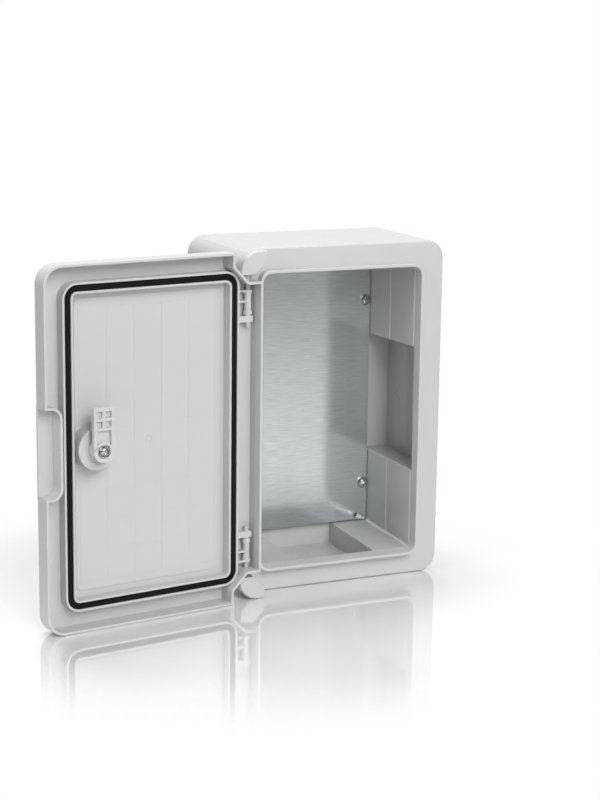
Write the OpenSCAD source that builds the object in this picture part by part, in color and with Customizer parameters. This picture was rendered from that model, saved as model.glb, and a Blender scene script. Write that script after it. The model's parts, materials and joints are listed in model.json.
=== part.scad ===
// Hinged plastic wall enclosure: a moulded housing with a galvanised mounting plate,
// and a gasketed door on two pin hinges with a quarter-turn cam lock.
// Every piece is drawn in a build frame with X to the right, Y up and Z out of the wall,
// with the door closed. The world frame has its origin in the middle of the rear rim,
// +Z up and the door opening towards -Y.

/* [Housing] */
// Width of the housing and of the door
body_w = 200; // [190:1:230]
// Height of the housing and of the door
body_h = 300; // [290:1:340]
// Depth from the rear rim to the front face
body_d = 105; // [95:1:140]
// Corner radius seen from the front
corner_r = 16; // [14:0.5:18]
// Thickness of the outer wall
wall = 3.4; // [2.8:0.1:4]
// Thickness of the inner walls round the corner columns
inner_wall = 2.6; // [2:0.1:3]
// Thickness of the front flange that the cam hooks behind
flange_t = 3.5; // [3:0.1:4]
// Width of the front frame, from the outer edge to the opening
frame_w = 25; // [24.5:0.1:26]
// Height of the front frame, from the outer edge to the opening
frame_h = 21.5; // [21:0.1:22.5]
// Corner radius of the opening
opening_r = 8; // [6:0.5:9]
// Height of the sealing ridge above the front face
ridge_h = 7.7; // [7:0.1:8]
// Thickness of the sealing ridge
ridge_t = 2.6; // [2:0.1:3]
// Thickness of the rear wall
rear_wall = 3; // [2.5:0.1:4]
// Depth of the rear wall behind the rear rim
rear_recess = 7; // [5:0.5:9]
// Inward step of the side walls at half depth
wall_step = 0.6; // [0.4:0.1:0.8]
// Slope of the opening up to the cavity's floor, and down to its ceiling
floor_step = 2; // [1:0.1:3]
// Rise of the cavity's floor and ceiling towards the rear
floor_rise = 4; // [3:0.1:5]
// Rounding where the cavity's walls meet its floor and ceiling
cove_r = 3; // [2:0.1:4]
// Height of the cable pockets in the side walls
side_pocket_h = 112; // [90:1:125]
// Rise of the side pockets' floor and ceiling towards the rear
side_pocket_rise = 2; // [1:0.1:4]
// Width of the cable pockets in the top and bottom walls
end_pocket_w = 77; // [60:1:90]
// Radius of the round drilling marks in the pockets
mark_r = 6; // [4:0.5:10]
// Depth of the drilling marks
mark_d = 0.5; // [0.3:0.1:1]
// Distance of the drilling marks from the rear rim
mark_z = 35; // [25:1:60]
// Rounding of the front and rear outer edges
edge_r = 2.2; // [1:0.1:2.6]

/* [Wall fixings] */
// Distance of the fixing holes from the side edges
fixing_inset_x = 11.5; // [11:0.1:13]
// Distance of the fixing holes from the top and bottom edges
fixing_inset_y = 10.5; // [10:0.1:12]
// Outer radius of a fixing column
fixing_r = 6; // [5:0.1:7]
// Radius of a fixing hole
fixing_bore_r = 2.1; // [1.8:0.1:2.5]
// Depth of a fixing hole
fixing_depth = 25; // [15:1:35]

/* [Mounting plate] */
// Gap between the plate and the side walls
plate_gap_x = 0.6; // [0.4:0.1:1.5]
// Gap between the plate and the cavity's floor at the rear
plate_gap_y = 1; // [0.8:0.1:4]
// Thickness of the plate
plate_t = 1.5; // [1:0.1:2]
// Height of the bosses that carry the plate
boss_h = 5.5; // [4:0.1:8]
// Radius of the bosses
boss_r = 5.5; // [5:0.1:7]
// Distance of the plate screws from the plate's ends
plate_screw_inset = 35.5; // [20:0.5:60]
// Shank radius of the plate screws
plate_screw_r = 2; // [1.6:0.1:2.4]
// Length of a plate screw under its head
plate_screw_l = 8.5; // [7:0.1:9]
// Head radius of the plate screws
plate_head_r = 4.4; // [4:0.1:5]
// Head height of the plate screws
plate_head_h = 2.9; // [2.4:0.1:3.4]
// Outer radius of the plate washers
washer_r = 5.4; // [5:0.1:6]
// Thickness of the plate washers
washer_t = 0.8; // [0.6:0.1:1.2]
// Gap between the plate washers and the side walls
washer_gap = 0.4; // [0.3:0.1:1.5]
// Radius of the earthing holes in the plate's corners
earth_hole_r = 2.2; // [1.8:0.1:2.6]
// Distance of the earthing holes from the plate's side edges
earth_inset_x = 11.5; // [9:0.1:14]
// Distance of the earthing holes from the plate's ends
earth_inset_y = 4.4; // [4:0.1:6]

/* [Door] */
// Angle at which the door stands open at rest
door_open = 171.5; // [0:0.5:180]
// Depth of the door from its rim to its front
door_d = 19; // [18:0.5:21]
// Gap between the closed door's rim and the housing
door_gap = 1; // [0.8:0.1:1.4]
// Thickness of the door's front skin
skin_t = 2.5; // [2:0.1:3]
// Thickness of the door's rim
rim_t = 2.2; // [2:0.1:2.6]
// Rounding of the door's front edges
door_edge_r = 4; // [2:0.1:4.5]
// Height of the raised field inside the door
field_t = 0.6; // [0.4:0.1:1]
// Margin between the seal's inner wall and the raised field
field_margin = 5; // [3:0.5:10]
// Height of the finger pull in the free edge
pull_h = 72; // [50:1:90]
// Depth of the finger pull
pull_d = 13; // [10:0.5:14]
// Corner radius of the finger pull
pull_r = 8; // [6:0.5:9]
// Thickness of the lip in front of the finger pull
pull_lip = 5; // [4.5:0.1:7]

/* [Seal] */
// Width of the gasket
gasket_w = 5.4; // [5.2:0.1:6]
// Thickness of the gasket
gasket_t = 5.5; // [4:0.1:6]
// Gap between the sealing ridge and the gasket
seal_gap = 0.3; // [0.2:0.05:0.5]
// Thickness of the walls beside the gasket
seal_wall = 2; // [1.6:0.1:2]
// How far those walls stand above the gasket
seal_wall_rise = 0.6; // [0.4:0.1:1]
// Outer corner radius of the gasket
gasket_r = 11; // [10:0.5:11]

/* [Hinges] */
// Distance of the hinge axis from the side edge
hinge_inset = 8; // [7.8:0.1:8.4]
// Distance of the hinge axis behind the door's front
hinge_depth = 6.7; // [6.2:0.1:7]
// Width of the corner posts, from the side edge
post_w = 23; // [22.5:0.1:23.5]
// Height of the corner posts, from the top or bottom edge
post_h = 20; // [19.5:0.1:20.5]
// Distance along both edges to the slanted side of a corner post
post_slant = 33; // [32.5:0.1:33.5]
// Rounding of a corner post's outer front edge
post_edge_r = 1.5; // [1.2:0.1:2]
// Radius of the hinge pins
pin_r = 1.8; // [1.4:0.1:2]
// Running clearance of the hinge pins, on the radius
pin_play = 0.05; // [0.03:0.01:0.08]
// Length of a pin inside its post
pin_reach = 6; // [5:0.1:7]
// Radius of the hinge barrels
barrel_r = 3; // [2.8:0.1:3.4]
// Collar radius of the hinge barrels
collar_r = 3.8; // [3.6:0.1:4]
// Length of the collars
collar_l = 3.4; // [2:0.1:5]
// Length of a hinge barrel
barrel_l = 22; // [18:0.1:28]
// Distance from the door's notch to the barrel
barrel_start = 5.5; // [5:0.1:9]
// Thickness of the end plate under a barrel
end_plate_t = 5.2; // [4:0.1:7]
// Thickness of the ribs beside a barrel
hinge_rib_t = 1.8; // [1.4:0.1:2.4]
// Gap between a post and the slanted edge of the door's notch
notch_gap = 3.9; // [3.7:0.05:4.1]
// Gap between a post and the notch's upright edge
notch_side_gap = 4; // [3.7:0.1:4.4]
// Gap between a post and the notch's level edge
notch_end_gap = 5; // [4.6:0.1:5.4]
// Gap left between a barrel's inner collar and its end plate
collar_gap = 1.2; // [0.8:0.1:2]
// Length of pin below the end plate
pin_tail = 4; // [3:0.1:6]
// Thickness of a pin's head
pin_head_t = 1.6; // [1:0.1:2.5]
// How far a pin's head stands out from the pin
pin_head_rim = 0.8; // [0.5:0.1:1.2]
// Depth of the step that clears the turning rim
rim_relief = 1.8; // [1.7:0.1:2]

/* [Lock] */
// Distance of the lock's axis from the free edge
lock_inset = 46.7; // [46.4:0.1:50]
// Radius of the inner lock base
lock_base_r = 17.5; // [15:0.1:17.5]
// Height of the lock base above the door's skin
lock_base_h = 15.5; // [14:0.1:16.5]
// Radius of the lock's outer flange
lock_flange_r = 16; // [14:0.5:18]
// Height of the lock's outer flange
lock_flange_h = 4.5; // [3.5:0.1:6]
// Rounding of the lock's outer edges
lock_edge_r = 2; // [1:0.1:2.5]
// Thickness of the seal under the outer flange
lock_seal_t = 1; // [0.8:0.1:1.5]
// Radius of the lock's barrel through the door
lock_barrel_r = 11; // [10:0.1:12]
// Radius of the turning core
core_r = 7; // [6:0.1:7.5]
// Running clearance of the core, on the radius
core_play = 0.08; // [0.05:0.01:0.1]
// How far the core's head stands out from the core
core_rim = 1.5; // [1:0.1:2]
// Thickness of the core's head
core_head_t = 2; // [1.5:0.1:2.4]
// Depth of the core's head below the flange
core_sink = 1.2; // [0.8:0.1:1.6]
// Thickness of the sealing ring on the core
core_ring_t = 1.6; // [1.2:0.1:2]
// Width of the key slot
key_slot_w = 2.6; // [2:0.1:3.4]
// Depth of the key slot
key_slot_d = 2.5; // [2:0.1:3.5]
// Square drive across the flats, where the cam sits
drive_w = 8; // [7:0.1:9]
// Width of the cam
cam_w = 18; // [16:0.5:19]
// Reach of the cam from the lock's axis
cam_reach = 36; // [34:0.5:38]
// Thickness of the cam
cam_t = 4; // [3.5:0.1:5]
// Gap between the locked cam and the flange
cam_gap = 0.6; // [0.4:0.1:1]
// Depth of the recess for the cam screw
cam_recess_d = 2; // [1.5:0.1:2.4]
// Radius of the boss round the cam screw
cam_boss_r = 8; // [7.2:0.1:8.5]
// Width of the cut-out above the boss
cam_window_w = 12.6; // [11:0.1:13]
// Top of that cut-out, from the lock's axis
cam_window_top = 17; // [15:0.1:18]
// Distance of the upper square pockets from the cam's tip
cam_pocket_inset = 6; // [5:0.1:7]
// Depth of the pockets in the cam
cam_pocket_d = 2.4; // [1.5:0.1:3]
// Side of the square pockets
cam_pocket_w = 5.2; // [4:0.1:6]
// Distance between the square pockets
cam_pocket_pitch = 8; // [7.5:0.1:8.5]
// Radius of the washer under the cam screw
cam_washer_r = 5.6; // [5:0.1:6]
// Thickness of that washer
cam_washer_t = 0.8; // [0.6:0.1:1.2]
// Head radius of the cam screw
cam_head_r = 3.7; // [3.4:0.1:4.2]
// Head height of the cam screw
cam_head_h = 2.4; // [2:0.1:3]
// Shank radius of the cam screw
cam_screw_r = 2; // [1.5:0.1:2.2]
// Length of the cam screw under its head
cam_screw_l = 12; // [9:0.5:14]

/* [Hidden] */
$fn = 72;

// A cut runs this far past the face that it opens
over = 1;
// Clearance of a screw in its hole, on the radius
screw_play = 0.05;
// Clearance of one fixed piece in another
seat_play = 0.1;
// Turn of the first screw's cross, and the turn from each screw to the next
first_turn = 35;
next_turn = 40;
// Top of a pan head's dome, as a share of the head's height
dome_share = 1.15;
// Width and depth of a screw's cross, as shares of the head's radius and height
cross_w_share = 1.1;
cross_d_share = 0.6;
// Width of one bar of the cross, as a share of the cross
cross_bar_share = 0.25;
// Radius of a cove's arc, as a share of the cove: it ends in a clear edge on both walls
cove_share = 1.02;
// Place of a hinge's middle rib, as a share of the barrel's length
mid_rib_share = 0.4;

opening_w = body_w - 2 * frame_w;
opening_h = body_h - 2 * frame_h;
flange_back = body_d - flange_t;
cavity_floor = rear_recess + rear_wall;
cavity_w = opening_w - 2 * wall_step;
cavity_step = (cavity_floor + flange_back) / 2;
// Half the height between the cavity's floor and ceiling, at the front
cavity_half = opening_h / 2 - floor_step;
ridge_top = body_d + ridge_h;
pocket_out_x = body_w / 2 - wall;
pocket_out_y = body_h / 2 - wall;

plate_w = cavity_w - 2 * wall_step - 2 * plate_gap_x;
plate_h = 2 * (cavity_half - floor_rise - plate_gap_y);
plate_back = cavity_floor + boss_h;
plate_front = plate_back + plate_t;
plate_screw_x = plate_w / 2 + plate_gap_x - washer_gap - washer_r;
plate_screw_y = plate_h / 2 - plate_screw_inset;
plate_screw_spots = [for (sx = [-1, 1], sy = [-1, 1]) [sx * plate_screw_x, sy * plate_screw_y]];

door_rim = body_d + door_gap;
door_front = door_rim + door_d;
door_skin = door_front - skin_t;

gasket_top = ridge_top + seal_gap;
gasket_bed = gasket_top + gasket_t;
// The gasket's middle line runs over the middle of the sealing ridge
gasket_out_w = opening_w + ridge_t + gasket_w;
gasket_out_h = opening_h + ridge_t + gasket_w;
seal_out_w = gasket_out_w + 2 * seal_wall;
seal_out_h = gasket_out_h + 2 * seal_wall;
seal_in_w = gasket_out_w - 2 * gasket_w - 2 * seal_wall;
seal_in_h = gasket_out_h - 2 * gasket_w - 2 * seal_wall;

hinge_x = -body_w / 2 + hinge_inset;
hinge_z = door_front - hinge_depth;
// Corner notch of the door: clear of its post all the way round the swing
notch_slant = post_slant + notch_gap * sqrt(2);
notch_x = post_w + notch_side_gap;
notch_y = post_h + notch_end_gap;
barrel_top = body_h / 2 - notch_y - rim_t - barrel_start;
barrel_bottom = barrel_top - barrel_l;
pin_top = body_h / 2 - post_h + pin_reach;
pin_bottom = barrel_bottom - end_plate_t;

lock_x = body_w / 2 - lock_inset;
lock_base_face = door_skin - lock_base_h;
cam_back = flange_back - cam_gap;
cam_face = cam_back - cam_t;
// Floor of the recess in the cam, under the washer
cam_seat = cam_face + cam_recess_d;
lock_top = door_front + lock_flange_h;
core_top = lock_top - core_sink;
core_ring_z = door_front - core_ring_t - lock_edge_r;

housing_grey = "#cfd3d1";
lock_grey = "#d3d6d4";
zinc = "#b9bdbf";
steel = "#aab0b3";
rubber = "#1d1d1d";

// Turns the build frame into the world frame
module stand() rotate([90, 0, 0]) children();

// Swings what belongs to the door from closed to its rest angle
module on_door() {
    stand()
        translate([hinge_x, 0, hinge_z])
            rotate([0, -door_open, 0])
                translate([-hinge_x, 0, -hinge_z]) children();
}

module rounded_rect(w, h, r) {
    square([w - 2 * r, h], center = true);
    square([w, h - 2 * r], center = true);
    for (sx = [-1, 1], sy = [-1, 1])
        translate([sx * (w / 2 - r), sy * (h / 2 - r)]) circle(r);
}

module rounded_plate(w, h, r, from, to) {
    translate([0, 0, from]) linear_extrude(to - from) rounded_rect(w, h, r);
}

// Sweeps a profile round a rounded rectangle: its X points outwards and its Y along Z
module round_frame(w, h, r) {
    sides = [[w / 2, h / 2 - r, h], [h / 2, w / 2 - r, w], [w / 2, h / 2 - r, h], [h / 2, w / 2 - r, w]];
    for (i = [0 : 3]) {
        side = sides[i];
        rotate([0, 0, 90 * i]) {
            translate([side[0], side[1], 0])
                rotate([90, 0, 0]) linear_extrude(side[2] - 2 * r) children();
            translate([side[0] - r, side[1], 0])
                rotate_extrude(angle = 90) translate([r, 0]) children();
        }
    }
}

// Profile of what a rounding takes off an outer edge at the origin
module edge_cut(r) {
    difference() {
        translate([-r, -r]) square(r + over);
        translate([-r, -r]) circle(r);
    }
}

// Upper corner on the hinge side, cut off by a slanted line
module hinge_corner(w, h, slant) {
    translate([-body_w / 2, body_h / 2]) mirror([0, 1])
        polygon([[-over, -over], [w, -over], [w, slant - w], [slant - h, h], [-over, h]]);
}

module both_ends() {
    children();
    mirror([0, 1, 0]) children();
}

module both_sides() {
    children();
    mirror([1, 0, 0]) children();
}

module four_corners(x, y) {
    for (sx = [-1, 1], sy = [-1, 1]) translate([sx * x, sy * y, 0]) children();
}

// A disc with a rounded front edge
module round_disc(r, h, edge) {
    rotate_extrude() {
        square([r, h - edge]);
        square([r - edge, h]);
        translate([r - edge, h - edge]) intersection() {
            circle(edge);
            square(edge);
        }
    }
}

// Cross recess of a screw head, its top face at the origin
module cross_recess(width, depth) {
    for (turn = [0, 90])
        rotate([0, 0, turn])
            translate([-width / 2, -width * cross_bar_share / 2, -depth])
                cube([width, width * cross_bar_share, depth + over]);
}

// Pan-head screw pointing down, the underside of its head at the origin
module pan_screw(head_r, head_h, shank_r, shank_l) {
    dome_r = (head_r * head_r + head_h * head_h) / (2 * head_h);
    difference() {
        union() {
            intersection() {
                cylinder(r = head_r, h = head_h);
                translate([0, 0, head_h * dome_share - dome_r]) sphere(dome_r);
            }
            translate([0, 0, -shank_l]) cylinder(r = shank_r, h = shank_l);
        }
        translate([0, 0, head_h]) cross_recess(head_r * cross_w_share, head_h * cross_d_share);
    }
}

module flat_ring(r_out, r_in, t) {
    difference() {
        cylinder(r = r_out, h = t);
        translate([0, 0, -over]) cylinder(r = r_in, h = t + 2 * over);
    }
}

// Outer skin of the housing, solid, with its ridge and corner posts
module housing_block() {
    difference() {
        rounded_plate(body_w, body_h, corner_r, 0, body_d);
        translate([0, 0, body_d]) round_frame(body_w, body_h, corner_r) edge_cut(edge_r);
        mirror([0, 0, 1]) round_frame(body_w, body_h, corner_r) edge_cut(edge_r);
        // step along the hinge side, where the door's rim turns
        translate([-body_w / 2 - over, -body_h / 2 + notch_y - over, body_d - rim_relief])
            cube([2 * hinge_inset + over, body_h - 2 * notch_y + 2 * over, rim_relief + over]);
    }
    rounded_plate(
        opening_w + 2 * ridge_t, opening_h + 2 * ridge_t, opening_r + ridge_t,
        flange_back, ridge_top
    );
    both_ends() corner_post();
}

// Post that fills the door's notch and carries a hinge pin
module corner_post() difference() {
    translate([0, 0, flange_back]) linear_extrude(door_front - flange_back) intersection() {
        rounded_rect(body_w, body_h, corner_r);
        hinge_corner(post_w, post_h, post_slant);
    }
    translate([0, 0, door_front]) round_frame(body_w, body_h, corner_r) edge_cut(post_edge_r);
}

// Block whose floor and ceiling draw in by a rise from the flange to a given depth
module drafted(width, half, rise, from) {
    translate([-width / 2, 0, 0]) rotate([90, 0, 90]) linear_extrude(width) polygon([
        [rise - half, from], [half - rise, from], [half, flange_back], [-half, flange_back]
    ]);
}

// Floor and ceiling of the opening and of the cavity behind it, seen from the side
module cavity_profile() {
    half = opening_h / 2;
    back = cavity_half - floor_rise;
    polygon([
        [-back, cavity_floor], [back, cavity_floor], [cavity_half, flange_back], [half, ridge_top],
        [half, ridge_top + over], [-half, ridge_top + over], [-half, ridge_top], [-cavity_half, flange_back]
    ]);
}

// Space for equipment: sides with one step, floor and ceiling that rise to the rear
module cavity() intersection() {
    translate([-body_w / 2, 0, 0]) rotate([90, 0, 90]) linear_extrude(body_w) cavity_profile();
    union() {
        rounded_plate(opening_w, opening_h, opening_r, flange_back - over, ridge_top + over);
        translate([-cavity_w / 2, -body_h / 2, cavity_step])
            cube([cavity_w, body_h, flange_back - cavity_step]);
        translate([-cavity_w / 2 + wall_step, -body_h / 2, 0])
            cube([cavity_w - 2 * wall_step, body_h, cavity_step + over]);
    }
}

// Profile of a cove, rooted in both walls, with the corner at the origin
module cove_profile() difference() {
    translate([-over, -over]) square(cove_r + over);
    translate([cove_r, cove_r]) circle(cove_r * cove_share);
}

// Cove along the ceiling from a side wall at x, between two depths
module cove(x, from, to) {
    slope = atan(floor_rise / (flange_back - cavity_floor));
    translate([x, cavity_half - (flange_back - to) * tan(slope), to])
        rotate([180 - slope, 0, 0])
            linear_extrude((to - from) / cos(slope)) mirror([1, 0]) cove_profile();
}

// Coves in the cavity's four inner corners, from the plate to the flange
module coves() {
    rear = plate_front + over;
    both_sides() both_ends() intersection() {
        union() {
            cove(cavity_w / 2, cavity_step, body_d);
            cove(cavity_w / 2 - wall_step, cavity_floor, cavity_step + over);
        }
        translate([0, 0, rear]) cube([body_w / 2, body_h / 2, flange_back - rear]);
    }
}

// Cable pockets, one across both sides and one across both ends, with their drilling marks
module pockets() {
    mark_y = pocket_out_y - floor_rise * (flange_back - mark_z) / (flange_back - cavity_floor);
    drafted(2 * pocket_out_x, side_pocket_h / 2, side_pocket_rise, cavity_floor);
    drafted(end_pocket_w, pocket_out_y, floor_rise, cavity_floor);
    translate([0, 0, mark_z]) {
        rotate([0, 90, 0]) cylinder(r = mark_r, h = 2 * (pocket_out_x + mark_d), center = true);
        rotate([90, 0, 0]) cylinder(r = mark_r, h = 2 * (mark_y + mark_d), center = true);
    }
}

// Hollow corner columns and the shallow recess behind the rear wall
module rear_hollow() {
    inner_r = corner_r - wall;
    rounded_plate(body_w - 2 * wall, body_h - 2 * wall, inner_r, -over, rear_recess);
    difference() {
        rounded_plate(body_w - 2 * wall, body_h - 2 * wall, inner_r, 0, flange_back);
        drafted(cavity_w + 2 * inner_wall, cavity_half + inner_wall, floor_rise, rear_recess);
        drafted(body_w, side_pocket_h / 2 + inner_wall, side_pocket_rise, rear_recess);
        drafted(end_pocket_w + 2 * inner_wall, body_h / 2, 0, rear_recess);
    }
}

module housing() color(housing_grey) stand() {
    fixing_x = body_w / 2 - fixing_inset_x;
    fixing_y = body_h / 2 - fixing_inset_y;
    difference() {
        union() {
            difference() {
                housing_block();
                cavity();
                pockets();
                rear_hollow();
            }
            coves();
            four_corners(plate_screw_x, plate_screw_y)
                translate([0, 0, rear_recess]) cylinder(r = boss_r, h = plate_back - rear_recess);
            four_corners(fixing_x, fixing_y) cylinder(r = fixing_r, h = flange_back);
        }
        four_corners(plate_screw_x, plate_screw_y)
            translate([0, 0, plate_front + washer_t - plate_screw_l - screw_play])
                cylinder(r = plate_screw_r + screw_play, h = plate_screw_l);
        four_corners(fixing_x, fixing_y)
            translate([0, 0, -over]) cylinder(r = fixing_bore_r, h = fixing_depth + over);
        // sockets of the hinge pins, in the inner sides of the posts
        both_ends()
            translate([hinge_x, pin_top + pin_play, hinge_z])
                rotate([90, 0, 0]) cylinder(r = pin_r + pin_play, h = pin_reach + over);
    }
}

module mounting_plate() color(zinc) stand() difference() {
    translate([-plate_w / 2, -plate_h / 2, plate_back]) cube([plate_w, plate_h, plate_t]);
    four_corners(plate_screw_x, plate_screw_y)
        translate([0, 0, plate_back - over])
            cylinder(r = plate_screw_r + seat_play, h = plate_t + 2 * over);
    four_corners(plate_w / 2 - earth_inset_x, plate_h / 2 - earth_inset_y)
        translate([0, 0, plate_back - over]) cylinder(r = earth_hole_r, h = plate_t + 2 * over);
}

module plate_screw(i) color(steel) stand()
    translate([plate_screw_spots[i][0], plate_screw_spots[i][1], plate_front + washer_t])
        rotate([0, 0, first_turn + next_turn * i])
            pan_screw(plate_head_r, plate_head_h, plate_screw_r, plate_screw_l);

module plate_washer(i) color(steel) stand()
    translate([plate_screw_spots[i][0], plate_screw_spots[i][1], plate_front])
        flat_ring(washer_r, plate_screw_r + seat_play, washer_t);

// Corner notch on the hinge side, grown into the door by a margin
module notch(grow) hinge_corner(notch_x + grow, notch_y + grow, notch_slant + grow * sqrt(2));

module door_outline(inset) difference() {
    rounded_rect(body_w - 2 * inset, body_h - 2 * inset, corner_r - inset);
    both_ends() notch(inset);
}

// Finger pull in the free edge, grown outwards by a margin
module pull_outline(grow) translate([body_w / 2, 0])
    rounded_rect(2 * (pull_d + grow), pull_h + 2 * grow, pull_r + grow);

// Band between two rounded rectangles, a given width inside the outer one
module band(w, h, r, width) difference() {
    rounded_rect(w, h, r);
    rounded_rect(w - 2 * width, h - 2 * width, r - width);
}

// Walls and bed of the gasket
module seal_channel() {
    wall_top = gasket_top - seal_wall_rise;
    difference() {
        translate([0, 0, wall_top]) linear_extrude(door_skin - wall_top)
            band(seal_out_w, seal_out_h, gasket_r + seal_wall, gasket_w + 2 * seal_wall);
        translate([0, 0, wall_top - over]) linear_extrude(gasket_bed - wall_top + over)
            band(gasket_out_w, gasket_out_h, gasket_r, gasket_w);
    }
}

module door_panel() color(housing_grey) on_door() difference() {
    union() {
        difference() {
            translate([0, 0, door_rim]) linear_extrude(door_d) door_outline(0);
            translate([0, 0, door_rim - over])
                linear_extrude(door_skin - door_rim + over) door_outline(rim_t);
            translate([0, 0, door_front]) round_frame(body_w, body_h, corner_r) edge_cut(door_edge_r);
        }
        seal_channel();
        // wall round the finger pull
        translate([0, 0, door_rim]) linear_extrude(door_skin - door_rim) intersection() {
            pull_outline(rim_t);
            door_outline(0);
        }
        rounded_plate(
            seal_in_w - 2 * field_margin, seal_in_h - 2 * field_margin, field_margin,
            door_skin - field_t, door_skin + skin_t / 2
        );
    }
    translate([0, 0, door_rim - over])
        linear_extrude(door_front - pull_lip - door_rim + over) pull_outline(0);
    // holes of the hinge pins in the level edges of the notches
    both_ends()
        translate([hinge_x, body_h / 2 - notch_y + over, hinge_z])
            rotate([90, 0, 0]) cylinder(r = pin_r + pin_play, h = rim_t + 2 * over);
    // hole of the lock, and a seat for its base in the raised field
    translate([lock_x, 0, door_skin - field_t - over]) {
        cylinder(r = lock_barrel_r + seat_play, h = skin_t + field_t + 2 * over);
        cylinder(r = lock_base_r + seat_play, h = field_t + over);
    }
}

module door_gasket() color(rubber) on_door() translate([0, 0, gasket_top]) linear_extrude(gasket_t)
    band(
        gasket_out_w - 2 * seat_play, gasket_out_h - 2 * seat_play,
        gasket_r - seat_play, gasket_w - 2 * seat_play
    );

// Bracket beside the gasket wall: a barrel with two collars, two ribs and an end plate
module hinge_bracket() {
    wall_x = -seal_out_w / 2;
    module rib(top, t, from) translate([from, top - t, hinge_z - barrel_r])
        cube([wall_x - from, t, door_skin - hinge_z + barrel_r]);
    difference() {
        union() {
            translate([hinge_x, barrel_top, hinge_z]) rotate([90, 0, 0]) {
                cylinder(r = barrel_r, h = barrel_l);
                cylinder(r = collar_r, h = collar_l);
                translate([0, 0, barrel_l - collar_gap - collar_l]) cylinder(r = collar_r, h = collar_l);
            }
            rib(barrel_top, hinge_rib_t, hinge_x);
            rib(barrel_top - barrel_l * mid_rib_share, hinge_rib_t, hinge_x);
            rib(barrel_bottom, end_plate_t, hinge_x - collar_r);
        }
        translate([hinge_x, barrel_top + over, hinge_z])
            rotate([90, 0, 0]) cylinder(r = pin_r + pin_play, h = barrel_l + end_plate_t + 2 * over);
    }
}

module hinge_pin() translate([hinge_x, 0, hinge_z]) rotate([-90, 0, 0]) {
    translate([0, 0, pin_bottom - pin_tail]) cylinder(r = pin_r, h = pin_top - pin_bottom + pin_tail);
    translate([0, 0, pin_bottom - pin_head_t]) cylinder(r = pin_r + pin_head_rim, h = pin_head_t);
}

module hinge_bracket_top() color(housing_grey) on_door() hinge_bracket();
module hinge_bracket_bottom() color(housing_grey) on_door() mirror([0, 1, 0]) hinge_bracket();
module hinge_pin_top() color(lock_grey) on_door() hinge_pin();
module hinge_pin_bottom() color(lock_grey) on_door() mirror([0, 1, 0]) hinge_pin();

module at_lock() on_door() translate([lock_x, 0, 0]) children();

// Outer flange and threaded barrel, put in from the front of the door
module lock_barrel() color(lock_grey) at_lock() difference() {
    union() {
        translate([0, 0, door_front]) round_disc(lock_flange_r, lock_flange_h, lock_edge_r);
        translate([0, 0, lock_base_face]) cylinder(r = lock_barrel_r, h = door_front - lock_base_face);
    }
    translate([0, 0, lock_base_face - over])
        cylinder(r = core_r + core_play, h = lock_top - lock_base_face + 2 * over);
    translate([0, 0, core_top - core_head_t])
        cylinder(r = core_r + core_rim + core_play, h = core_sink + core_head_t + over);
    translate([0, 0, door_front - over])
        flat_ring(lock_flange_r - lock_edge_r, lock_barrel_r, lock_seal_t + over);
}

// Round inner base, screwed onto the barrel
module lock_base() color(lock_grey) at_lock() difference() {
    translate([0, 0, door_skin]) mirror([0, 0, 1]) round_disc(lock_base_r, lock_base_h, lock_edge_r / 2);
    translate([0, 0, lock_base_face - over])
        cylinder(r = lock_barrel_r + screw_play, h = lock_base_h + 2 * over);
}

module lock_seal() color(rubber) at_lock() translate([0, 0, door_front])
    flat_ring(lock_flange_r - lock_edge_r - seat_play, lock_barrel_r + seat_play, lock_seal_t);

// Turning core: a slotted head outside, a round shaft, and a square end for the cam
module lock_core() color(steel) at_lock() difference() {
    union() {
        translate([0, 0, core_top - core_head_t]) cylinder(r = core_r + core_rim, h = core_head_t);
        translate([0, 0, lock_base_face]) cylinder(r = core_r, h = core_top - lock_base_face);
        translate([-drive_w / 2, -drive_w / 2, cam_seat + seat_play])
            cube([drive_w, drive_w, lock_base_face - cam_seat]);
    }
    translate([-core_r - core_rim, -key_slot_w / 2, core_top - key_slot_d])
        cube([2 * (core_r + core_rim), key_slot_w, key_slot_d + over]);
    translate([0, 0, core_ring_z]) flat_ring(core_r + over, core_r - core_ring_t, core_ring_t);
    translate([0, 0, cam_seat - over])
        cylinder(r = cam_screw_r + screw_play, h = cam_screw_l - cam_washer_t + over + seat_play);
}

module core_ring() color(rubber) at_lock() translate([0, 0, core_ring_z])
    flat_ring(core_r, core_r - core_ring_t + screw_play, core_ring_t);

// Outline of the cam: one round end, one square end towards the tip
module cam_outline() {
    circle(cam_w / 2);
    translate([-cam_w / 2, 0]) square([cam_w, cam_reach]);
}

// Cam that points up when open and to the free edge when locked
module lock_cam() color(lock_grey) at_lock() difference() {
    union() {
        translate([0, 0, cam_face]) linear_extrude(cam_t) cam_outline();
        translate([0, 0, cam_back]) cylinder(r = cam_w / 2, h = lock_base_face - cam_back - seat_play);
    }
    translate([-drive_w / 2 - screw_play, -drive_w / 2 - screw_play, cam_face - over])
        cube([drive_w + 2 * screw_play, drive_w + 2 * screw_play, lock_base_face - cam_face + 2 * over]);
    translate([0, 0, cam_face - over])
        cylinder(r = cam_washer_r + seat_play, h = cam_recess_d + over);
    translate([0, 0, cam_face - over]) linear_extrude(cam_pocket_d + over) {
        difference() {
            translate([-cam_window_w / 2, 0]) square([cam_window_w, cam_window_top]);
            circle(cam_boss_r);
            translate([-cam_window_w / 2, 0]) square([cam_window_w, cam_boss_r / 2]);
        }
        for (sx = [-1, 1], row = [0, 1])
            translate([sx * cam_pocket_pitch / 2, cam_reach - cam_pocket_inset - row * cam_pocket_pitch])
                square(cam_pocket_w, center = true);
    }
}

module cam_washer() color(steel) at_lock() translate([0, 0, cam_seat - cam_washer_t])
    flat_ring(cam_washer_r, cam_screw_r + seat_play, cam_washer_t);

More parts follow.
